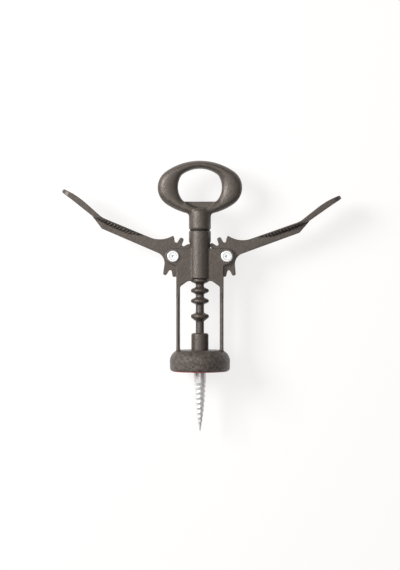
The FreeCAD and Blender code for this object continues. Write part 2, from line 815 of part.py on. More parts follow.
def make_lever(doc, label, side):
    """Gear sector, web and thumb paddle; X runs from the pivot to the tip of the paddle."""
    body = make_body(doc, label)
    tip = tip_radius(doc)
    shoulder = on_circle(tip, number(doc, "dim.shoulder_angle"))
    heel = on_circle(tip, number(doc, "dim.heel_angle"))
    web = make_sketch(body, "web_outline", "XZ_Plane")
    draw_outline(web, [
        shoulder + (None, tip),
        (-tip, 0, None, tip),
        heel,
        ("dim.heel_x", "dim.heel_y", "dim.heel_round"),
        ("dim.lever_length - dim.web_end_back", "dim.web_end_y", "dim.web_end_round"),
        (ROOT, "dim.root_y", "dim.root_arc"),
    ] + PADDLE_TOP + [
        ("dim.web_top_x", "dim.web_top_y", None, "-dim.web_top_arc"),
    ])
    pad(body, "web", web, "dim.gear_thick")
    cut_teeth(body)
    add_flange(body)
    bore = make_sketch(body, "bore_outline", "XZ_Plane")
    draw_circle(bore, 0, 0, "dim.rivet_radius + dim.rivet_fit")
    pocket(body, "bore", bore)
    angle = number(doc, "dim.lever_angle - %d * dim.lever_lag" % side)
    turn = FreeCAD.Rotation(FreeCAD.Vector(0, 0, 1), 0 if side > 0 else 180)
    tilt = FreeCAD.Rotation(FreeCAD.Vector(0, 1, 0), -angle)
    spot = FreeCAD.Vector(side * number(doc, "dim.pivot_reach"), 0, number(doc, "dim.pivot_height"))
    body.Placement = FreeCAD.Placement(spot, turn.multiply(tilt))
    return body


def top_line(along):
    """Height of the lever's straight top edge between its neck and its knee."""
    fall = "(dim.knee_y - dim.web_top_y) / (" + KNEE + " - dim.web_top_x)"
    return "dim.web_top_y + (%s - dim.web_top_x) * %s" % (along, fall)


def half_width(along):
    """Half the width of the flange, where it widens from the web to the paddle."""
    length = "(dim.lever_length - dim.paddle_back - dim.flange_start)"
    spread = "(dim.flange_half_width - dim.gear_thick / 2) / " + length
    return "(dim.gear_thick / 2 + (%s - dim.flange_start) * %s + dim.wedge_spare)" % (along, spread)


def add_wedge(body):
    """The thin flange's sloping underside, which runs back to the web like a long gusset."""
    root = "dim.root_y + dim.wedge_spare"
    sections = [
        ("dim.wedge_start", top_line("dim.wedge_start"), "dim.wedge_start_edge", "dim.wedge_start_depth"),
        ("dim.wedge_middle", top_line("dim.wedge_middle"), "dim.wedge_middle_edge", "dim.wedge_middle_depth"),
        (WEDGE_END, top_line(WEDGE_END), "dim.wedge_end_edge", "dim.wedge_end_depth"),
        (ROOT, root, "dim.wedge_spare", "dim.wedge_spare + dim.wedge_tail"),
    ]
    inner = "dim.gear_thick / 2"
    sketches = []
    for index, (along, top, edge, depth) in enumerate(sections):
        wide = half_width(along)
        sketch = make_sketch(body, "wedge_section_%d" % index, "YZ_Plane")
        draw_outline(sketch, [
            (wide, top),
            ("-" + wide, top),
            ("-" + wide, top + " - (" + edge + ")"),
            ("-" + inner, top + " - (" + depth + ")"),
            (inner, top + " - (" + depth + ")"),
            (wide, top + " - (" + edge + ")"),
        ])
        sketch.setExpression("AttachmentOffset.Base.z", along)
        sketches.append(sketch)
    body.Document.recompute()
    wedge = body.newObject("PartDesign::AdditiveLoft", "wedge")
    wedge.Profile = sketches[0]
    wedge.Sections = sketches[1:]
    wedge.Ruled = True
    body.Document.recompute()


def add_flange(body):
    """The flange along the top of the web, which widens from the hub and becomes the paddle."""
    flange = make_sketch(body, "flange_outline", "XZ_Plane")
    draw_outline(flange, [
        (WEDGE_END, top_line(WEDGE_END)),
        (WEDGE_END, top_line(WEDGE_END) + " - dim.wedge_end_edge"),
        (ROOT, "dim.root_y"),
    ] + PADDLE_TOP)
    pad(body, "flange", flange, "2 * dim.flange_half_width")
    add_wedge(body)
    plan = make_sketch(body, "flange_plan", "XY_Plane")
    beyond = "dim.lever_length + dim.paddle_corner"
    inside = "dim.flange_start - dim.paddle_corner"
    for sign in ("", "-"):
        draw_outline(plan, [
            (inside, sign + "dim.gear_thick / 2"),
            ("dim.flange_start", sign + "dim.gear_thick / 2"),
            ("dim.lever_length - dim.paddle_back", sign + "dim.flange_half_width",
             "dim.paddle_shoulder_round"),
            ("dim.lever_length", sign + "dim.flange_half_width", "dim.paddle_corner"),
            ("dim.lever_length", sign + "dim.paddle_end_half"),
            (beyond, sign + "dim.paddle_end_half"),
            (beyond, sign + "2 * dim.flange_half_width"),
            (inside, sign + "2 * dim.flange_half_width"),
        ])
    pocket(body, "flange_plan_cut", plan)


def check(doc):
    for item in doc.Objects:
        if any(word in item.State for word in ("Invalid", "Error")):
            raise RuntimeError("%s failed" % item.Name)


def main():
    doc = start_document()
    parts = [
        make_frame(doc),
        make_liner(doc),
        make_rack(doc),
        make_washer(doc),
        make_worm(doc),
        make_rivet(doc, "left_rivet", -1),
        make_rivet(doc, "right_rivet", 1),
        make_handle(doc),
        make_lever(doc, "left_lever", -1),
        make_lever(doc, "right_lever", 1),
    ]
    doc.recompute()
    check(doc)
    os.makedirs("parts", exist_ok=True)
    for part in parts:
        shape = part.Shape
        if shape.isNull() or not shape.isValid():
            raise RuntimeError("%s has no valid shape" % part.Label)
        shape.exportStep("parts/" + part.Label + ".step")
        print(part.Label, round(shape.Volume, 1), len(shape.Solids), shape.BoundBox)


main()
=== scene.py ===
import math

import bmesh
import bpy
from bpy.props import FloatProperty, FloatVectorProperty, IntProperty, PointerProperty
from mathutils import Matrix, Vector
from mathutils.bvhtree import BVHTree


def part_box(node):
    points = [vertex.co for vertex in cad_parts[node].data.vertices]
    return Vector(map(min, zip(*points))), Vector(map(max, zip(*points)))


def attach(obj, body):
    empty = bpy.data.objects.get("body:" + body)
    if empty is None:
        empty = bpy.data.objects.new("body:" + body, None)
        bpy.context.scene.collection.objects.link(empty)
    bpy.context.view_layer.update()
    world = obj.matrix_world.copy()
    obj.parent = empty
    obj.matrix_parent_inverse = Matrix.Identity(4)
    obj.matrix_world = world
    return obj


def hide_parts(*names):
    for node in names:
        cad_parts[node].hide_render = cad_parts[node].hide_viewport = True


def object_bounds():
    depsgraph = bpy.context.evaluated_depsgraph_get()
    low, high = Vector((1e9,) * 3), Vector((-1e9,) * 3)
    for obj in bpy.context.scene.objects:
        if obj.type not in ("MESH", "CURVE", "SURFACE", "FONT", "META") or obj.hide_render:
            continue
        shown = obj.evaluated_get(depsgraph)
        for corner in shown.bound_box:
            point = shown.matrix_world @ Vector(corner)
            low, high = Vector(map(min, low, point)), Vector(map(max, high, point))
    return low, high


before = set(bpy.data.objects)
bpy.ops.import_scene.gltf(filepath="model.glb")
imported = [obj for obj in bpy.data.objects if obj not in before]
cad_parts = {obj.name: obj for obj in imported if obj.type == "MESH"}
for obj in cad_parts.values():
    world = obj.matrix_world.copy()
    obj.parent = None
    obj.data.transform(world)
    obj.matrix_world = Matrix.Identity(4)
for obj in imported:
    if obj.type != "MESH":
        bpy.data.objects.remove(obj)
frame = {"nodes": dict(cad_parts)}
CAD_BOX = [list(corner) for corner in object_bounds()]

bl_info = {
    "name": "Wing corkscrew",
    "version": (1, 0, 0),
    "blender": (4, 5, 0),
    "location": "View3D > Sidebar > Corkscrew",
    "description": "Dresses a wing corkscrew: castings, threaded worm, bright rivets, red liner",
    "category": "Object",
}

# Lengths are in metres. The frame's origin is the centre of the bell's mouth, +Z runs up the worm
# and -Y is the front.
PIVOTS = {"left": (-0.0168, 0.0, 0.0724), "right": (0.0168, 0.0, 0.0724)}
BELL_TOP = 0.0134
WINDOW_TOP = 0.050
THROAT = Vector((0.0, 0.0, 0.0995))
WELD = 1e-6

# Skins of the castings: smoothing passes and the rack's grid, as multiples of the settings.
FRAME_PASSES, HANDLE_PASSES, LEVER_PASSES = 3, 9, 2
RACK_GRID = 0.9

# The legs are rounded by LEG_ROUND, which fades in over LEG_FADE above the bell. Their inner and
# outer sides are found at heights this far above the bell and below the windows' top.
LEG_ROUND = 0.7
LEG_FADE = 0.003
LEG_FOOT, LEG_HEAD = 0.006, 0.010

# The bell's lower edge is filled out below RIM_FADE's heights and outside RIM_REACH's radii.
RIM_FADE = (0.0015, 0.005)
RIM_REACH = (0.0160, 0.0168)
RIM_SPREAD = 0.04

# Distances over which the softness changes: from the throat, and from a lever's pivot at its
# teeth and at its tip.
THROAT_REACH = (0.007, 0.013)
TEETH_REACH = (0.0135, 0.017)
TIP_REACH = (0.060, 0.075)

# A lever's flange in the lever's own axes, with X along the line from its pivot to its tip: where
# its top starts and how it falls, half the web's width and how the flange widens, and its
# thickness at stations along X.
FLANGE_START, FLANGE_RISE, FLANGE_FALL = 0.0184, 0.0029, 0.1426
WEB_HALF, SPREAD_START, FLANGE_SPREAD = 0.0021, 0.0195, 0.177
FLANGE_DEPTHS = ((0.0235, 0.0006), (0.032, 0.0031), (0.046, 0.0028), (0.0574, 0.0006))

# A rib's upper end lies RIB_DROP under the flange's top and RIB_INSET radii in from its side.
# Its lower end lies RIB_FOOT from the web's middle.
RIB_DROP, RIB_INSET, RIB_FOOT, RIB_SIDES = 0.0009, 1.3, 0.0022, 12

# The painted shade in the recess under the flange: how far below its top and beside the web it
# starts, and where along X it fades in and out.
HOLLOW_DROP = (0.0006, 0.0011)
HOLLOW_SIDE = (WEB_HALF, WEB_HALF + 0.0003)
HOLLOW_IN, HOLLOW_OUT = (0.0225, 0.0245), (0.050, 0.057)

# Turned pieces: where an edge counts as sharp, how far it is broken, and rings of painted shade in
# a rivet's head.
SHARP_ANGLE = math.radians(30.0)
BROKEN_EDGE = 0.00012
RIVET_GROOVE = (0.0020, 0.0025)
RIVET_DIMPLE = (0.0, 0.0006)

# Marks of the coating, and painted shade and a painted highlight: how strongly each shows, and its
# tone as a factor on the colour.
GRAIN_TINT = (0.45, 1.5)
PIT_TINT = (0.3, 0.55)
# Painted shade in the recess under a lever's flange.
FLANGE_SHADE_TINT = (0.9, 0.18)
HIGH_LUMP_TINT = (0.6, 2.0)
LOW_LUMP_TINT = (0.75, 0.4)
# The pale edge is partly rubbed wear and partly a painted highlight on the rounded edges.
DARK_CLOUD, PALE_CLOUD, EDGE_WEAR_AND_HIGHLIGHT = 0.82, 1.18, 1.6

# Heights of the coating's relief, in parts of RELIEF.
GRAIN_HEIGHT, PIT_HEIGHT, LUMP_HEIGHT = 0.9, 0.6, 6.0
RELIEF, FINE_RELIEF = 0.0002, 0.00005

# The picture, the sheet behind the tool, and each light's size and place.
PICTURE_ROWS = 570
PICTURE_CENTRE = Vector((0.00006, 0.0, 0.0544))
SHEET_GAP, SHEET_HALF = 0.0003, 1.2
LIGHTS = (
    ("key", 0.45, (-0.76, -0.70, 0.38)),
    ("front", 0.6, (-0.1, -1.0, 0.1)),
    ("back", 0.7, (0.45, 1.0, 0.3)),
)
WHITE = (1.0, 1.0, 1.0, 1.0)
SHEET_WHITE = (1.0, 0.992, 0.988, 1.0)
SKY_WHITE = (1.0, 0.99, 0.98, 1.0)


class Value:
    """A number socket that can be added, subtracted, multiplied and divided."""

    def __init__(self, nodes, socket):
        self.nodes = nodes
        self.socket = socket

    def work(self, operation, first, second=0.0):
        return self.nodes.number("ShaderNodeMath", 0, {"operation": operation},
                                 {0: first, 1: second})

    def __add__(self, other):
        return self.work("ADD", self, other)

    __radd__ = __add__

    def __sub__(self, other):
        return self.work("SUBTRACT", self, other)

    def __rsub__(self, other):
        return self.work("SUBTRACT", other, self)

    def __mul__(self, other):
        return self.work("MULTIPLY", self, other)

    __rmul__ = __mul__

    def __truediv__(self, other):
        return self.work("DIVIDE", self, other)

    def fraction(self):
        return self.work("FRACT", self)

    def floor(self):
        return self.work("FLOOR", self)

    def sine(self):
        return self.work("SINE", self)

    def cosine(self):
        return self.work("COSINE", self)

    def within(self, low, high):
        """0 at low and 1 at high, level beyond them. Low may be the greater of the two."""
        return self.nodes.number("ShaderNodeMapRange", 0, {"clamp": True},
                                 {"Value": self, "From Min": low, "From Max": high})


class Nodes:
    """Adds nodes to a shader tree or a geometry tree."""

    def __init__(self, tree):
        self.tree = tree

    def add(self, kind, settings=None, values=None):
        node = self.tree.nodes.new(kind)
        for name, setting in (settings or {}).items():
            setattr(node, name, setting)
        for key, value in (values or {}).items():
            if isinstance(value, Value):
                value = value.socket
            if isinstance(value, bpy.types.NodeSocket):
                self.tree.links.new(value, node.inputs[key])
            else:
                node.inputs[key].default_value = value
        return node

    def number(self, kind, output=0, settings=None, values=None):
        return Value(self, self.add(kind, settings, values).outputs[output])

    def place(self):
        """The coordinates of the piece itself."""
        return self.add("ShaderNodeTexCoord").outputs["Object"]

    def noise(self, place, scale, detail=3.0, roughness=0.55):
        return self.number("ShaderNodeTexNoise", 0, None, {
            "Vector": place, "Scale": scale, "Detail": detail, "Roughness": roughness})

    def blend(self, factor, first, second):
        """A mix of two colours."""
        node = self.add("ShaderNodeMix", {"data_type": "RGBA"}, {0: factor, 6: first, 7: second})
        return node.outputs[2]

    def bump(self, strength, distance, height):
        return self.add("ShaderNodeBump", None, {
            "Strength": strength, "Distance": distance, "Height": height}).outputs[0]

    def vector(self, operation, first, second):
        return self.add("ShaderNodeVectorMath", {"operation": operation},
                        {0: first, 1: second}).outputs[0]

    def length(self, vector):
        return self.number("ShaderNodeVectorMath", "Value", {"operation": "LENGTH"}, {0: vector})

    def combine(self, x, y, z):
        return self.add("ShaderNodeCombineXYZ", None, {0: x, 1: y, 2: z}).outputs[0]

    def split(self, vector):
        """The three numbers of a vector."""
        node = self.add("ShaderNodeSeparateXYZ", None, {0: vector})
        return [Value(self, socket) for socket in node.outputs]

    def rays(self):
        """1 for what the camera sees, and 1 for what is reflected."""
        seen = self.add("ShaderNodeLightPath").outputs
        return Value(self, seen["Is Camera Ray"]), Value(self, seen["Is Glossy Ray"])


def start_material(name):
    """A material with an empty tree."""
    material = bpy.data.materials.new(name)
    material.use_nodes = True
    material.node_tree.nodes.clear()
    return material, Nodes(material.node_tree)


def finish_material(nodes, values):
    """End a material's tree in a shader with these values."""
    shader = nodes.add("ShaderNodeBsdfPrincipled", None, values)
    nodes.add("ShaderNodeOutputMaterial", None, {"Surface": shader.outputs[0]})


def shade(colour, factor):
    """A colour of (red, green, blue) made lighter or darker, with an alpha of 1."""
    return tuple(channel * factor for channel in colour) + (1.0,)


def vary(level, *swings):
    """A level that each noise moves up and down, from pairs of a noise and its swing."""
    total = level - sum(swing for noise, swing in swings) / 2.0
    for noise, swing in swings:
        total = noise * swing + total
    return total


def cast_material(name, colour, look, coarse_below=None):
    """Grey coated casting: mottled tone, fine grain, edges paled by wear and a painted highlight,
    painted shade where the piece marks it, lumps below a height.
    """
    material, nodes = start_material(name)
    place = nodes.place()

    def tint(tone, mask, amount, factor):
        return nodes.blend(mask * amount, tone, shade(colour, factor))

    cloud = nodes.noise(place, 1.0 / look.cloud_size, detail=4.0)
    grain = nodes.noise(place, 1.0 / look.grain_size, roughness=0.6)
    pits = nodes.number("ShaderNodeTexVoronoi", 0, {"feature": "SMOOTH_F1"}, {
        "Vector": place, "Scale": 1.0 / look.pebble_size, "Smoothness": 0.6})
    edge = nodes.number("ShaderNodeNewGeometry", "Pointiness").within(0.515, 0.60)
    hollow = nodes.number("ShaderNodeAttribute", "Fac", {"attribute_name": "hollow"})
    tone = nodes.blend(cloud.within(0.3, 0.7), shade(colour, DARK_CLOUD), shade(colour, PALE_CLOUD))
    tone = tint(tone, grain.within(0.35, 0.7), *GRAIN_TINT)
    tone = tint(tone, pits.within(0.55, 0.15), *PIT_TINT)
    # Paler edges: partly rubbed wear, partly a painted highlight where rounded edges catch the
    # light.
    tone = tint(tone, edge, look.edge_wear_and_highlight, EDGE_WEAR_AND_HIGHLIGHT)
    # Painted shade: darker in the recess under a lever's flange, where the piece marks it.
    tone = tint(tone, hollow, *FLANGE_SHADE_TINT)
    height = grain * GRAIN_HEIGHT + pits * PIT_HEIGHT
    if coarse_below is not None:
        level = nodes.split(place)[2]
        rough = 1.0 - level.within(coarse_below - 0.001, coarse_below + 0.002)
        lumps = nodes.noise(place, 1.0 / look.lump_size, detail=5.0, roughness=0.65)
        tone = tint(tone, rough * lumps.within(0.5, 0.7), *HIGH_LUMP_TINT)
        tone = tint(tone, rough * (1.0 - lumps.within(0.34, 0.54)), *LOW_LUMP_TINT)
        height = height + lumps * rough * LUMP_HEIGHT
    finish_material(nodes, {
        "Base Color": tone,
        "Metallic": look.metallic,
        "Roughness": vary(look.roughness, (cloud, 0.16), (grain, 0.12)),
        "Normal": nodes.bump(look.grain_strength, RELIEF, height),
    })
    return material


def recess_shade_mask(nodes, place, centre, low, high):
    """1 between two radii round a pivot, where shade is painted into a rivet's head."""
    fade = 0.0002
    away = nodes.vector("SUBTRACT", place, centre)
    reach = nodes.length(nodes.vector("MULTIPLY", away, (1.0, 0.0, 1.0)))
    return reach.within(low - fade, low) * (1.0 - reach.within(high, high + fade))


def bright_material(name, colour, roughness, metallic, pivots=()):
    """Plated steel with fine turning marks, and painted shade in the rivet's head at each pivot."""
    material, nodes = start_material(name)
    place = nodes.place()
    marks = nodes.noise(place, 2500.0, detail=2.0)
    cloud = nodes.noise(place, 300.0)
    tone = nodes.blend(cloud.within(0.35, 0.65), shade(colour, 0.94), shade(colour, 1.0))
    for pivot in pivots:
        groove = recess_shade_mask(nodes, place, pivot, *RIVET_GROOVE)
        dimple = recess_shade_mask(nodes, place, pivot, *RIVET_DIMPLE)
        # Painted shade in the groove and the dimple of the rivet's head.
        tone = nodes.blend((groove + dimple) * 0.45, tone, shade(colour, 0.45))
    finish_material(nodes, {
        "Base Color": tone,
        "Metallic": metallic,
        "Roughness": vary(roughness, (cloud, 0.1)),
        "Normal": nodes.bump(0.08, FINE_RELIEF, marks),
    })
    return material


def plastic_material(name, colour, roughness):
    """Moulded plastic, slightly uneven."""
    material, nodes = start_material(name)
    place = nodes.place()
    cloud = nodes.noise(place, 250.0)
    grain = nodes.noise(place, 3000.0, detail=2.0)
    finish_material(nodes, {
        "Base Color": nodes.blend(cloud, shade(colour, 0.9), shade(colour, 1.1)),
        "Roughness": vary(roughness, (cloud, 0.1)),
        "Normal": nodes.bump(0.15, FINE_RELIEF, grain),
    })
    return material


def skin_of(node, name):
    """A copy of a CAD node's mesh with its loose triangles joined up."""
    mesh = frame["nodes"][node].data.copy()
    mesh.materials.clear()
    work = bmesh.new()
    work.from_mesh(mesh)
    bmesh.ops.remove_doubles(work, verts=work.verts, dist=WELD)
    work.to_mesh(mesh)
    work.free()
    if mesh.has_custom_normals:
        mesh.attributes.remove(mesh.attributes["custom_normal"])
    piece = bpy.data.objects.new(name, mesh)
    bpy.context.scene.collection.objects.link(piece)
    return piece


def set_mesh(piece):
    """Turn what the modifiers make into the piece's own mesh."""
    graph = bpy.context.evaluated_depsgraph_get()
    mesh = bpy.data.meshes.new_from_object(piece.evaluated_get(graph))
    piece.modifiers.clear()
    piece.data = mesh


def refine(piece, grid):
    """Cover a piece with an even, fine skin."""
    remesh = piece.modifiers.new("even_grid", "REMESH")
    remesh.mode = "VOXEL"
    remesh.voxel_size = grid
    set_mesh(piece)


def soften(piece, passes, keep, share=None):
    """Give a fine skin the round edges and inside corners of a coated casting.

    share(spot) says how much of the smoothing a point gets.
    """
    smooth = piece.modifiers.new("soft_edges", "SMOOTH")
    smooth.factor = 0.5
    smooth.iterations = passes
    if share:
        group = piece.vertex_groups.new(name="softness")
        for vert in piece.data.vertices:
            group.add([vert.index], share(vert.co), "REPLACE")
        smooth.vertex_group = group.name
    thin = piece.modifiers.new("fewer_faces", "DECIMATE")
    thin.ratio = keep
    set_mesh(piece)
    piece.data.shade_smooth()


def smooth_turned(piece, bevel=None):
    """Break the hard edges of a turned piece and shade the rest smoothly."""
    if bevel:
        edge = piece.modifiers.new("broken_edges", "BEVEL")
        edge.width = bevel
        edge.segments = 2
        edge.limit_method = "ANGLE"
        edge.angle_limit = SHARP_ANGLE
        set_mesh(piece)
    piece.data.shade_smooth()
    piece.data.set_sharp_from_angle(angle=SHARP_ANGLE)


def finish_piece(piece, body, node, material):
    """Paint a piece and let it stand for a CAD node on that node's body."""
    piece.data.materials.clear()
    piece.data.materials.append(material)
    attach(piece, body)
    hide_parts(node)


class CorkscrewCasting(bpy.types.PropertyGroup):
    """Look of the coated castings."""

    grid: FloatProperty(
        name="Grid", description="Cell of the soft skin", default=0.0003, unit="LENGTH")
    passes: IntProperty(
        name="Softness", description="Smoothing passes over the edges", default=4)
    keep: FloatProperty(
        name="Kept faces", description="Share of the skin's faces that is kept", default=0.6)
    grain_size: FloatProperty(
        name="Grain", description="Size of the coating's grain", default=0.0006, unit="LENGTH")
    pebble_size: FloatProperty(
        name="Pebble", description="Size of the coating's pebbles", default=0.0011, unit="LENGTH")
    cloud_size: FloatProperty(
        name="Cloud", description="Size of the uneven tone", default=0.003, unit="LENGTH")
    lump_size: FloatProperty(
        name="Lump", description="Size of the bell's rough lumps", default=0.0019, unit="LENGTH")
    grain_strength: FloatProperty(
        name="Grain strength", description="How deep the grain looks", default=0.8)
    # Pales the edges: partly rubbed wear, partly a painted highlight.
    edge_wear_and_highlight: FloatProperty(
        name="Edge wear", description="How much the edges are rubbed", default=0.5)
    metallic: FloatProperty(
        name="Metallic", description="Metal flake in the coating", default=0.3)
    roughness: FloatProperty(
        name="Roughness", description="Roughness of the coating", default=0.38)


class CorkscrewColours(bpy.types.PropertyGroup):
    """Colours of the pieces."""

    frame: FloatVectorProperty(
        name="Frame", description="Colour of the frame", subtype="COLOR",
        default=(0.112, 0.092, 0.078))
    handle: FloatVectorProperty(
        name="Handle", description="Colour of the handle", subtype="COLOR",
        default=(0.122, 0.101, 0.085))
    lever: FloatVectorProperty(
        name="Levers", description="Colour of the levers", subtype="COLOR",
        default=(0.114, 0.094, 0.080))
    rack: FloatVectorProperty(
        name="Rack", description="Colour of the rack", subtype="COLOR",
        default=(0.110, 0.090, 0.077))
    steel: FloatVectorProperty(
        name="Steel", description="Colour of the worm and rivets", subtype="COLOR",
        default=(0.95, 0.95, 0.95))
    liner: FloatVectorProperty(
        name="Liner", description="Colour of the liner", subtype="COLOR",
        default=(0.66, 0.045, 0.06))
    washer: FloatVectorProperty(
        name="Washer", description="Colour of the washer", subtype="COLOR",
        default=(0.012, 0.010, 0.009))


class CorkscrewBow(bpy.types.PropertyGroup):
    """Shape of the handle's bow."""

    centre: FloatProperty(
        name="Centre", description="Height of the bow's centre", default=0.1157, unit="LENGTH")
    half_width: FloatProperty(
        name="Half width", description="Half the bow's width", default=0.0266, unit="LENGTH")
    half_height: FloatProperty(
        name="Half height", description="Half the bow's height", default=0.01695, unit="LENGTH")
    dome: FloatProperty(
        name="Dome", description="How much thinner the band is at its edges",
        default=0.72, min=0.0, max=1.0)
    lip_half: FloatProperty(
        name="Lip half", description="Half the width of the flat lip", default=0.008,
        unit="LENGTH")
    lip_top: FloatProperty(
        name="Lip top", description="Height of the flat lip", default=0.1071, unit="LENGTH")
    blend: FloatProperty(
        name="Blend", description="Distance over which the dome fades at the lip",
        default=0.005, unit="LENGTH")


class CorkscrewRibs(bpy.types.PropertyGroup):
    """Sizes of the ribs under each lever's flange, measured from its pivot."""

    count: IntProperty(name="Count", description="Ribs on one side of a lever", default=12)
    first: FloatProperty(
        name="First", description="Distance of the first rib", default=0.0265, unit="LENGTH")
    pitch: FloatProperty(
        name="Pitch", description="Distance between ribs", default=0.0021, unit="LENGTH")
    lean: FloatProperty(
        name="Lean", description="How far a rib leans outwards", default=0.0014, unit="LENGTH")
    radius: FloatProperty(
        name="Radius", description="Radius of a rib", default=0.00045, unit="LENGTH")
    left_angle: FloatProperty(
        name="Left lever", description="How far the left lever is raised",
        default=math.radians(30.6), subtype="ANGLE")
    right_angle: FloatProperty(
        name="Right lever", description="How far the right lever is raised",
        default=math.radians(27.3), subtype="ANGLE")


class CorkscrewWorm(bpy.types.PropertyGroup):
    """Sizes of the worm's thread."""

    pitch: FloatProperty(
        name="Pitch", description="Rise of the thread in one turn", default=0.0031,
        unit="LENGTH")
    depth: FloatProperty(
        name="Depth", description="Depth of the thread", default=0.0006, unit="LENGTH")
    start: FloatProperty(
        name="Thread top", description="Height at which the thread starts", default=-0.0067,
        unit="LENGTH")
    bulge: FloatProperty(
        name="Bulge", description="How far the taper bows out", default=0.00075, unit="LENGTH")
    tip: FloatProperty(
        name="Tip", description="Radius of the worm's point", default=0.00035, unit="LENGTH")
    rows: IntProperty(name="Rows", description="Points along the worm", default=560)
    around: IntProperty(name="Around", description="Points around the worm", default=56)


class CorkscrewStage(bpy.types.PropertyGroup):
    """Sheet, lights and camera."""

    sheet: FloatVectorProperty(
        name="Sheet", description="Colour of the sheet", subtype="COLOR",
        default=(0.30, 0.285, 0.275))
    glow: FloatProperty(
        name="Sheet glow", description="White that the camera sees in the sheet", default=0.80)
    mirror_sheet: FloatProperty(
        name="Mirrored sheet", description="White of the sheet in reflections", default=0.9)
    key: FloatProperty(
        name="Key light", description="Power of the main light", default=11.0, unit="POWER")
    front: FloatProperty(
        name="Front light", description="Power of the light beside the camera", default=1.7,
        unit="POWER")
    back: FloatProperty(
        name="Back light", description="Power of the light behind the sheet", default=8.0,
        unit="POWER")
    sky: FloatProperty(
        name="Sky", description="Strength of the surrounding light", default=0.07)
    mirror_sky: FloatProperty(
        name="Mirrored sky", description="Strength of the surroundings in reflections",
        default=0.3)
    lens: FloatProperty(
        name="Lens", description="Focal length of the camera in millimetres", default=100.0)
    pixel: FloatProperty(
        name="Pixel", description="What one pixel of the picture covers", default=0.00063,
        unit="LENGTH")


class CorkscrewSettings(bpy.types.PropertyGroup):
    """All settings of the corkscrew."""

    casting: PointerProperty(type=CorkscrewCasting)
    colours: PointerProperty(type=CorkscrewColours)
    bow: PointerProperty(type=CorkscrewBow)
    ribs: PointerProperty(type=CorkscrewRibs)
    worm: PointerProperty(type=CorkscrewWorm)
    stage: PointerProperty(type=CorkscrewStage)


def ease(value, low, high):
    """0 below low, 1 above high, smooth between them."""
    share = min(1.0, max(0.0, (value - low) / (high - low)))
    return share * share * (3.0 - 2.0 * share)


def across_band(reach, inner, outer):
    """-1 at the inner edge of a band, 0 at its middle and 1 at its outer edge."""
    return min(1.0, max(-1.0, (reach - inner) / (outer - inner) * 2.0 - 1.0))


def along_leg(height, fade_from, fade_to):
    """1 along the legs, 0 on the bell, and fading at these distances below the windows' top."""
    return ease(height, BELL_TOP, BELL_TOP + LEG_FADE) * (
        1.0 - ease(height, WINDOW_TOP - fade_from, WINDOW_TOP - fade_to))


def dome_bow(piece, bow):
    """Round the flat band of the bow into a dome, thick along its middle and thin at its edges."""
    beyond = 0.05  # A ray inwards from this distance finds the band's outer edge.
    slack = 1.04  # The outer edge is taken no further out than this share of the ellipse.
    work = bmesh.new()
    work.from_mesh(piece.data)
    tree = BVHTree.FromBMesh(work)
    middle = Vector((0.0, 0.0, bow.centre))
    for vert in work.verts:
        spot = vert.co
        away = Vector((spot.x, 0.0, spot.z - bow.centre))
        reach = away.length
        on_bow = max(ease(abs(spot.x), bow.lip_half, bow.lip_half + bow.blend),
                     ease(spot.z, bow.lip_top, bow.lip_top + bow.blend))
        if on_bow == 0.0:
            continue
        way = away / reach
        ellipse = 1.0 / math.hypot(way.x / bow.half_width, way.z / bow.half_height)
        far = tree.ray_cast(middle + way * beyond, -way)[0]
        near = tree.ray_cast(middle, way)[0]
        outside = min(ellipse * slack, (far - middle).length)
        across = across_band(reach, (near - middle).length, outside)
        thin = math.sqrt(1.0 - bow.dome * across * across)
        spot.y *= 1.0 + (thin - 1.0) * on_bow
    work.to_mesh(piece.data)
    work.free()


def shape_frame(piece):
    """Round the legs across their width, and fill out the bell's lower edge."""
    verts = piece.data.vertices
    foot, head = BELL_TOP + LEG_FOOT, WINDOW_TOP - LEG_HEAD
    legs = [abs(vert.co.x) for vert in verts if foot < vert.co.z < head]
    near, far = min(legs), max(legs)
    margin = 0.0005
    for vert in verts:
        spot = vert.co
        on_leg = along_leg(spot.z, 0.006, 0.001)
        if on_leg > 0.0 and near - margin < abs(spot.x) < far + margin:
            across = across_band(abs(spot.x), near, far)
            spot.y *= 1.0 + (math.sqrt(1.0 - LEG_ROUND * across * across) - 1.0) * on_leg
        reach = math.hypot(spot.x, spot.y)
        on_rim = (1.0 - ease(spot.z, *RIM_FADE)) * ease(reach, *RIM_REACH)
        spread = 1.0 + RIM_SPREAD * on_rim
        spot.x *= spread
        spot.y *= spread


def frame_softness(spot):
    """The legs are the softest."""
    return 0.3 + 0.7 * along_leg(spot.z, 0.004, 0.0)


def handle_softness(spot):
    """The throat under the bow is the softest."""
    return 0.2 + 0.8 * (1.0 - ease((spot - THROAT).length, *THROAT_REACH))


def lever_softness(spot, pivot):
    """The teeth and the paddle's tip stay crisp."""
    reach = (spot - pivot).length
    return ease(reach, *TEETH_REACH) * 0.75 + 0.25 - ease(reach, *TIP_REACH) * 0.7


def flange_top(along):
    """Height of the flange's top, over the line from the pivot to the tip."""
    return FLANGE_RISE - (along - FLANGE_START) * FLANGE_FALL


def flange_half(along):
    """Half the flange's width, which grows from the web to the paddle."""
    return WEB_HALF + (along - SPREAD_START) * FLANGE_SPREAD


def flange_depth(along):
    """Thickness of the flange at the web, between the given stations."""
    depth = FLANGE_DEPTHS[0][1]
    for (start, before), (end, after) in zip(FLANGE_DEPTHS, FLANGE_DEPTHS[1:]):
        depth = along.within(start, end) * (after - before) + depth
    return depth


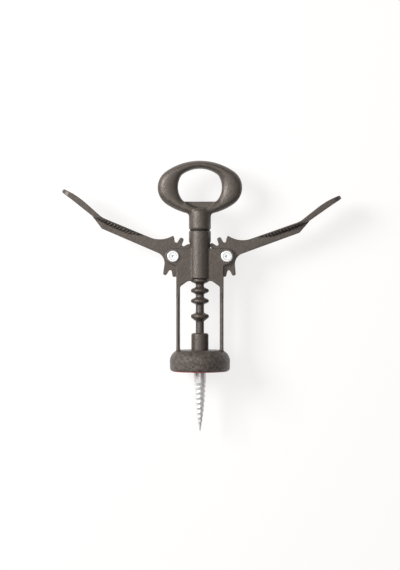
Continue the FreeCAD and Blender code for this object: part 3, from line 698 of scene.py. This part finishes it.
def start_tree(name, inputs):
    """A geometry tree with an input for each name and kind, its nodes and what it is given."""
    tree = bpy.data.node_groups.new(name, "GeometryNodeTree")
    face = tree.interface
    face.new_socket("Geometry", in_out="OUTPUT", socket_type="NodeSocketGeometry")
    for label, kind in inputs.items():
        face.new_socket(label, in_out="INPUT", socket_type="NodeSocket" + kind)
    face.new_socket("Material", in_out="INPUT", socket_type="NodeSocketMaterial")
    nodes = Nodes(tree)
    given = nodes.add("NodeGroupInput").outputs
    return tree, nodes, given


def finish_tree(nodes, shape, material):
    """End a geometry tree in real geometry with its material."""
    real = nodes.add("GeometryNodeRealizeInstances", None, {"Geometry": shape.outputs[0]})
    painted = nodes.add("GeometryNodeSetMaterial", None, {
        "Geometry": real.outputs[0], "Material": material})
    nodes.add("NodeGroupOutput", None, {0: painted.outputs[0]})


def rib_tree():
    """Half-sunk bars along the sloping underside of the flange, on both sides of the web."""
    tree, nodes, given = start_tree("flange_ribs", {
        "Count": "Int", "First": "Float", "Pitch": "Float", "Lean": "Float", "Radius": "Float"})
    count, first, pitch, lean, radius = (Value(nodes, given[i]) for i in range(5))
    half = nodes.number("GeometryNodeInputIndex") * 0.5
    side = 1.0 - half.fraction() * 4.0
    near = first + half.floor() * pitch
    far = near + lean
    high = nodes.combine(
        near, side * (flange_half(near) - radius * RIB_INSET), flange_top(near) - RIB_DROP)
    low = nodes.combine(far, side * RIB_FOOT, flange_top(far) - flange_depth(far))
    middle = nodes.vector("MULTIPLY", nodes.vector("ADD", high, low), (0.5, 0.5, 0.5))
    way = nodes.vector("SUBTRACT", high, low)
    line = nodes.add("GeometryNodeMeshLine", None, {"Count": count * 2.0})
    spots = nodes.add("GeometryNodeSetPosition", None, {
        "Geometry": line.outputs[0], "Position": middle})
    turn = nodes.add("FunctionNodeAlignRotationToVector", {"axis": "Z"}, {"Vector": way})
    bar = nodes.add("GeometryNodeMeshCylinder", None, {
        "Vertices": RIB_SIDES, "Radius": radius, "Depth": 1.0})
    bars = nodes.add("GeometryNodeInstanceOnPoints", None, {
        "Points": spots.outputs[0], "Instance": bar.outputs[0], "Rotation": turn.outputs[0],
        "Scale": nodes.combine(1.0, 1.0, nodes.length(way))})
    finish_tree(nodes, bars, given["Material"])
    return tree


def worm_tree():
    """A skin wrapped round the worm: the radius follows the taper less the thread's groove."""
    fade_in = 0.08  # Share of the taper over which the thread grows to its full depth.
    end = 0.0005  # Share of the length over which each end closes.
    tree, nodes, given = start_tree("threaded_worm", {
        "Top": "Float", "Start": "Float", "Bottom": "Float", "Radius": "Float", "Tip": "Float",
        "Bulge": "Float", "Pitch": "Float", "Depth": "Float", "Rows": "Int", "Around": "Int"})
    top, start, bottom, radius, tip, bulge, pitch, depth = (
        Value(nodes, given[i]) for i in range(8))
    grid = nodes.add("GeometryNodeMeshGrid", None, {
        "Size X": 1.0, "Size Y": 1.0, "Vertices X": given["Around"], "Vertices Y": given["Rows"]})
    place = nodes.split(nodes.add("GeometryNodeInputPosition").outputs[0])
    turn = place[0] + 0.5
    along = place[1] + 0.5
    height = bottom + along * (top - bottom)
    share = ((start - height) / (start - bottom)).within(0.0, 1.0)
    envelope = radius - share * (radius - tip) + share * (1.0 - share) * bulge * 4.0
    phase = (height / pitch - turn).fraction()
    middle = phase * 2.0 - 1.0
    groove = (1.0 - middle * middle) * depth * share.within(0.0, fade_in) * (envelope / radius)
    closed = along.within(0.0, end) * (1.0 - along.within(1.0 - end, 1.0))
    reach = (envelope - groove) * closed
    angle = turn * (2.0 * math.pi)
    spot = nodes.combine(reach * angle.cosine(), reach * angle.sine(), height)
    moved = nodes.add("GeometryNodeSetPosition", None, {
        "Geometry": grid.outputs[0], "Position": spot})
    welded = nodes.add("GeometryNodeMergeByDistance", None, {
        "Geometry": moved.outputs[0], "Distance": WELD})
    smooth = nodes.add("GeometryNodeSetShadeSmooth", None, {"Geometry": welded.outputs[0]})
    finish_tree(nodes, smooth, given["Material"])
    return tree


def run_tree(name, tree, inputs):
    """A new piece with the mesh that a tree makes from the given sizes."""
    piece = bpy.data.objects.new(name, bpy.data.meshes.new(name))
    bpy.context.scene.collection.objects.link(piece)
    modifier = piece.modifiers.new(name, "NODES")
    modifier.node_group = tree
    for item in tree.interface.items_tree:
        if item.in_out == "INPUT":
            modifier[item.identifier] = inputs[item.name]
    set_mesh(piece)
    return piece


def face_outwards(piece):
    """Turn a piece's faces outwards, also after a mirrored placing."""
    work = bmesh.new()
    work.from_mesh(piece.data)
    bmesh.ops.recalc_face_normals(work, faces=work.faces)
    work.to_mesh(piece.data)
    work.free()


def shade_flange(piece, place):
    """Mark the recess under the flange, where the ribs are, where the coating is darkened as
    painted shade.
    """
    back = place.inverted()
    mark = piece.data.attributes.new("hollow", "FLOAT", "POINT")
    for vert, item in zip(piece.data.vertices, mark.data):
        spot = back @ vert.co
        under = ease(flange_top(spot.x) - spot.z, *HOLLOW_DROP)
        beside = ease(abs(spot.y), *HOLLOW_SIDE)
        along = ease(spot.x, *HOLLOW_IN) * (1.0 - ease(spot.x, *HOLLOW_OUT))
        item.value = under * beside * along


def lever_place(side, ribs):
    """From a lever's own axes, with X from its pivot to its tip, to where it stands at rest."""
    outwards = 1.0 if side == "right" else -1.0
    angle = ribs.right_angle if side == "right" else ribs.left_angle
    along = Vector((outwards * math.cos(angle), 0.0, math.sin(angle)))
    up = Vector((-outwards * math.sin(angle), 0.0, math.cos(angle)))
    turned = Matrix((along, (0.0, 1.0, 0.0), up)).transposed().to_4x4()
    return Matrix.Translation(PIVOTS[side]) @ turned


class CORKSCREW_OT_frame(bpy.types.Operator):
    """Make the soft cast skin of the frame, rougher on the bell"""

    bl_idname = "corkscrew.frame"
    bl_label = "Frame casting"

    def execute(self, context):
        settings = context.scene.corkscrew
        look = settings.casting
        piece = skin_of("frame_casting", "frame_skin")
        refine(piece, look.grid)
        shape_frame(piece)
        soften(piece, look.passes * FRAME_PASSES, look.keep, frame_softness)
        material = cast_material("frame_coating", settings.colours.frame, look, BELL_TOP)
        finish_piece(piece, "frame", "frame_casting", material)
        return {"FINISHED"}


class CORKSCREW_OT_handle(bpy.types.Operator):
    """Make the soft cast skin of the key handle"""

    bl_idname = "corkscrew.handle"
    bl_label = "Key handle"

    def execute(self, context):
        settings = context.scene.corkscrew
        look = settings.casting
        piece = skin_of("key_handle", "handle_skin")
        refine(piece, look.grid)
        dome_bow(piece, settings.bow)
        soften(piece, look.passes * HANDLE_PASSES, look.keep, handle_softness)
        material = cast_material("handle_coating", settings.colours.handle, look)
        finish_piece(piece, "spindle", "key_handle", material)
        return {"FINISHED"}


class CORKSCREW_OT_levers(bpy.types.Operator):
    """Make the soft cast skins of the two levers, with the ribs under their flanges"""

    bl_idname = "corkscrew.levers"
    bl_label = "Levers"

    def execute(self, context):
        settings = context.scene.corkscrew
        look = settings.casting
        material = cast_material("lever_coating", settings.colours.lever, look)
        tree = rib_tree()
        for side in ("left", "right"):
            piece = skin_of(side + "_lever", side + "_lever_skin")
            pivot = Vector(PIVOTS[side])
            refine(piece, look.grid)
            soften(piece, look.passes * LEVER_PASSES, look.keep,
                   lambda spot: lever_softness(spot, pivot))
            place = lever_place(side, settings.ribs)
            shade_flange(piece, place)
            finish_piece(piece, side + "_wing", side + "_lever", material)
            ribs = run_tree(side + "_ribs", tree, {
                "Count": settings.ribs.count,
                "First": settings.ribs.first,
                "Pitch": settings.ribs.pitch,
                "Lean": settings.ribs.lean,
                "Radius": settings.ribs.radius,
                "Material": material,
            })
            ribs.data.transform(place)
            face_outwards(ribs)
            ribs.data.shade_smooth()
            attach(ribs, side + "_wing")
        return {"FINISHED"}


class CORKSCREW_OT_rack(bpy.types.Operator):
    """Make the soft cast skin of the round rack"""

    bl_idname = "corkscrew.rack"
    bl_label = "Ring rack"

    def execute(self, context):
        settings = context.scene.corkscrew
        look = settings.casting
        piece = skin_of("ring_rack", "rack_skin")
        refine(piece, look.grid * RACK_GRID)
        soften(piece, look.passes, look.keep)
        material = cast_material("rack_coating", settings.colours.rack, look)
        finish_piece(piece, "spindle", "ring_rack", material)
        return {"FINISHED"}


class CORKSCREW_OT_small_parts(bpy.types.Operator):
    """Finish the liner, the thrust washer and the two rivets"""

    bl_idname = "corkscrew.small_parts"
    bl_label = "Liner, washer and rivets"

    def execute(self, context):
        colours = context.scene.corkscrew.colours
        steel = bright_material("rivet_plating", colours.steel, roughness=0.34, metallic=0.85,
                                pivots=PIVOTS.values())
        red = plastic_material("liner_plastic", colours.liner, roughness=0.3)
        black = plastic_material("washer_plastic", colours.washer, roughness=0.6)
        for side in ("left", "right"):
            piece = skin_of(side + "_rivet", side + "_rivet_skin")
            smooth_turned(piece)
            finish_piece(piece, "frame", side + "_rivet", steel)
        liner = skin_of("bottle_liner", "liner_skin")
        smooth_turned(liner, BROKEN_EDGE)
        finish_piece(liner, "frame", "bottle_liner", red)
        washer = skin_of("thrust_washer", "washer_skin")
        smooth_turned(washer, BROKEN_EDGE)
        finish_piece(washer, "washer", "thrust_washer", black)
        return {"FINISHED"}


class CORKSCREW_OT_worm(bpy.types.Operator):
    """Make the worm with its right-hand thread"""

    bl_idname = "corkscrew.worm"
    bl_label = "Threaded worm"

    def execute(self, context):
        settings = context.scene.corkscrew
        worm = settings.worm
        low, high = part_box("worm_screw")
        steel = bright_material("worm_plating", settings.colours.steel, roughness=0.32,
                                metallic=0.4)
        piece = run_tree("worm_thread", worm_tree(), {
            "Top": high.z,
            "Start": worm.start,
            "Bottom": low.z,
            "Radius": high.x,
            "Tip": worm.tip,
            "Bulge": worm.bulge,
            "Pitch": worm.pitch,
            "Depth": worm.depth,
            "Rows": worm.rows,
            "Around": worm.around,
            "Material": steel,
        })
        face_outwards(piece)
        finish_piece(piece, "spindle", "worm_screw", steel)
        return {"FINISHED"}


def sheet_material(stage):
    """White sheet that keeps the shadow, and is clear when it is seen from behind."""
    material, nodes = start_material("sheet_paper")
    camera, glossy = nodes.rays()
    paper = nodes.add("ShaderNodeBsdfDiffuse", None, {"Color": shade(stage.sheet, 1.0)})
    glow = nodes.add("ShaderNodeEmission", None, {
        "Color": SHEET_WHITE, "Strength": camera * stage.glow + glossy * stage.mirror_sheet})
    lit = nodes.add("ShaderNodeAddShader", None, {0: paper.outputs[0], 1: glow.outputs[0]})
    clear = nodes.add("ShaderNodeBsdfTransparent")
    behind = nodes.add("ShaderNodeNewGeometry").outputs["Backfacing"]
    both = nodes.add("ShaderNodeMixShader", None, {
        0: behind, 1: lit.outputs[0], 2: clear.outputs[0]})
    nodes.add("ShaderNodeOutputMaterial", None, {"Surface": both.outputs[0]})
    return material


def add_sheet(stage):
    """Stand the sheet upright just behind the tool."""
    back = CAD_BOX[1][1] + SHEET_GAP
    corners = [(x * SHEET_HALF, back, z * SHEET_HALF)
               for x, z in ((-1, -1), (1, -1), (1, 1), (-1, 1))]
    mesh = bpy.data.meshes.new("studio_sheet")
    mesh.from_pydata(corners, [], [(0, 1, 2, 3)])
    mesh.materials.append(sheet_material(stage))
    sheet = bpy.data.objects.new("studio_sheet", mesh)
    bpy.context.scene.collection.objects.link(sheet)


def add_light(name, power, size, place, target):
    """Add a square light at a place, turned to its target."""
    light = bpy.data.lights.new(name, "AREA")
    light.energy = power
    light.size = size
    lamp = bpy.data.objects.new(name, light)
    lamp.location = place
    lamp.rotation_euler = (target - Vector(place)).to_track_quat("-Z", "Y").to_euler()
    bpy.context.scene.collection.objects.link(lamp)


def add_sky(stage):
    """White to the camera, pale in reflections and plain soft light to everything else."""
    world = bpy.data.worlds.new("studio")
    world.use_nodes = True
    world.node_tree.nodes.clear()
    nodes = Nodes(world.node_tree)
    camera, glossy = nodes.rays()
    level = glossy * (stage.mirror_sky - stage.sky) + stage.sky
    soft = nodes.add("ShaderNodeBackground", None, {"Color": SKY_WHITE, "Strength": level})
    white = nodes.add("ShaderNodeBackground", None, {"Color": WHITE, "Strength": 1.0})
    both = nodes.add("ShaderNodeMixShader", None, {
        0: camera, 1: soft.outputs[0], 2: white.outputs[0]})
    nodes.add("ShaderNodeOutputWorld", None, {"Surface": both.outputs[0]})
    bpy.context.scene.world = world


def add_camera(stage):
    """Look at the tool from the front, at the distance where a pixel covers its length."""
    camera = bpy.data.cameras.new("camera")
    camera.lens = stage.lens
    distance = PICTURE_ROWS * stage.pixel * camera.lens / camera.sensor_width
    holder = bpy.data.objects.new("camera", camera)
    holder.location = (PICTURE_CENTRE.x, -distance, PICTURE_CENTRE.z)
    holder.rotation_euler = (math.pi / 2.0, 0.0, 0.0)
    bpy.context.scene.collection.objects.link(holder)
    bpy.context.scene.camera = holder


class CORKSCREW_OT_stage(bpy.types.Operator):
    """Add the white sheet behind the tool, the lights and the camera"""

    bl_idname = "corkscrew.stage"
    bl_label = "Stage"

    def execute(self, context):
        stage = context.scene.corkscrew.stage
        add_sheet(stage)
        for name, size, place in LIGHTS:
            add_light(name + "_light", getattr(stage, name), size, place, PICTURE_CENTRE)
        add_sky(stage)
        add_camera(stage)
        context.scene.view_settings.view_transform = "Standard"
        return {"FINISHED"}


class CORKSCREW_PT_panel(bpy.types.Panel):
    """Lists the pieces of the corkscrew"""

    bl_idname = "CORKSCREW_PT_panel"
    bl_label = "Wing corkscrew"
    bl_space_type = "VIEW_3D"
    bl_region_type = "UI"
    bl_category = "Corkscrew"

    def draw(self, context):
        for operator in OPERATORS:
            self.layout.operator(operator.bl_idname)


OPERATORS = (
    CORKSCREW_OT_frame,
    CORKSCREW_OT_handle,
    CORKSCREW_OT_levers,
    CORKSCREW_OT_rack,
    CORKSCREW_OT_small_parts,
    CORKSCREW_OT_worm,
    CORKSCREW_OT_stage,
)
CLASSES = (
    CorkscrewCasting,
    CorkscrewColours,
    CorkscrewBow,
    CorkscrewRibs,
    CorkscrewWorm,
    CorkscrewStage,
    CorkscrewSettings,
) + OPERATORS + (CORKSCREW_PT_panel,)


def register():
    for item in CLASSES:
        bpy.utils.register_class(item)
    bpy.types.Scene.corkscrew = PointerProperty(type=CorkscrewSettings)


def unregister():
    del bpy.types.Scene.corkscrew
    for item in reversed(CLASSES):
        bpy.utils.unregister_class(item)


def main():
    register()
    bpy.ops.corkscrew.frame()
    bpy.ops.corkscrew.handle()
    bpy.ops.corkscrew.levers()
    bpy.ops.corkscrew.rack()
    bpy.ops.corkscrew.small_parts()
    bpy.ops.corkscrew.worm()
    bpy.ops.corkscrew.stage()


if __name__ == "__main__":
    main()
